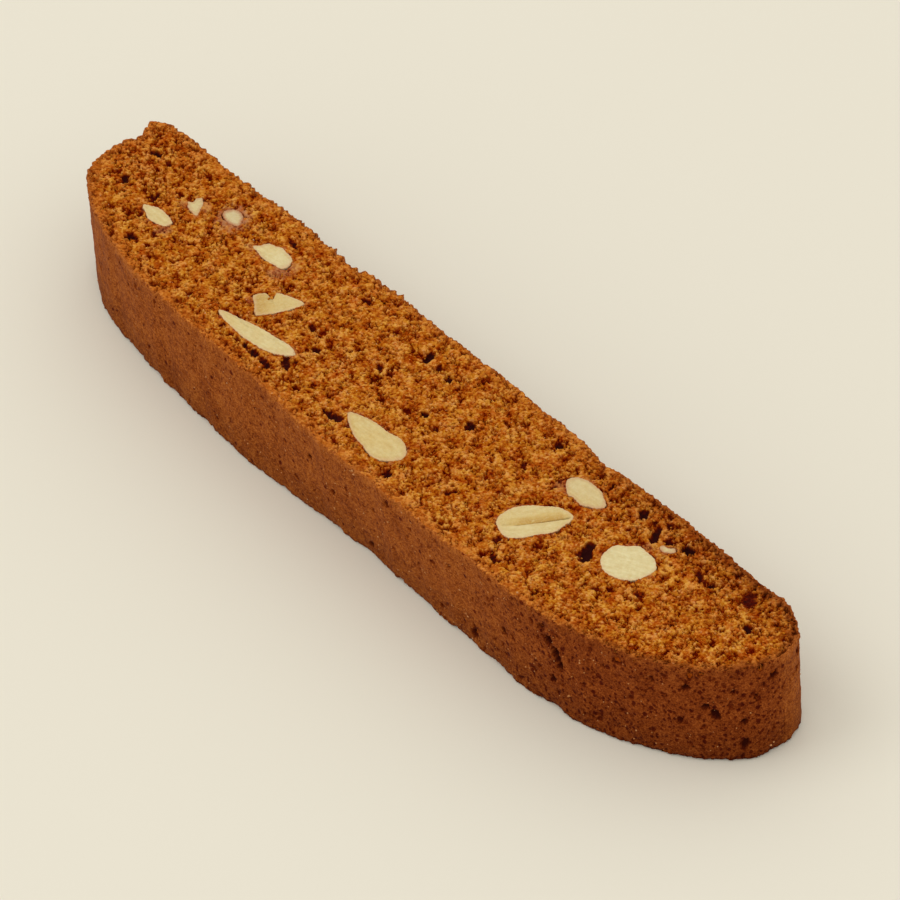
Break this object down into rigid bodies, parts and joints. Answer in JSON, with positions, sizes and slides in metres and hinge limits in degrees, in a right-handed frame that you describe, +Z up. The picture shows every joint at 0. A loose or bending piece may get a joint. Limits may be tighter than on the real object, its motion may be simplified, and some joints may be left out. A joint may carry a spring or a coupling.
{
  "type": "mostaccioli cookie",
  "caption": "Long twice-baked mostaccioli cookie slice with almond pieces cut through at its faces, lying flat on one cut face.",
  "frame": {"origin": "middle of the slice's length and width, on the lower cut face it rests on", "axes": "+X along the slice towards its rounded end, -Y towards the domed top crust of the loaf, +Y towards the loaf's flat base crust, +Z up from the lower to the upper cut face"},
  "size_m": [0.15, 0.029, 0.0203],
  "materials": {
    "baked_dough": "dry granular amber-brown crumb on the cut faces, matt red-brown crust with fine pits round the side",
    "almond": "smooth dry cream-coloured nut, cut flat by the knife"
  },
  "bodies": {
    "root": {"cookie_slice": "baked_dough", "almond_01": "almond", "almond_02": "almond", "almond_03": "almond", "almond_04": "almond", "almond_05": "almond", "almond_06": "almond", "almond_07": "almond", "almond_08": "almond", "almond_09": "almond", "almond_10": "almond", "almond_u1": "almond", "almond_u2": "almond", "almond_u3": "almond", "almond_u4": "almond", "almond_u5": "almond", "almond_u6": "almond"}
  },
  "joints": []
}
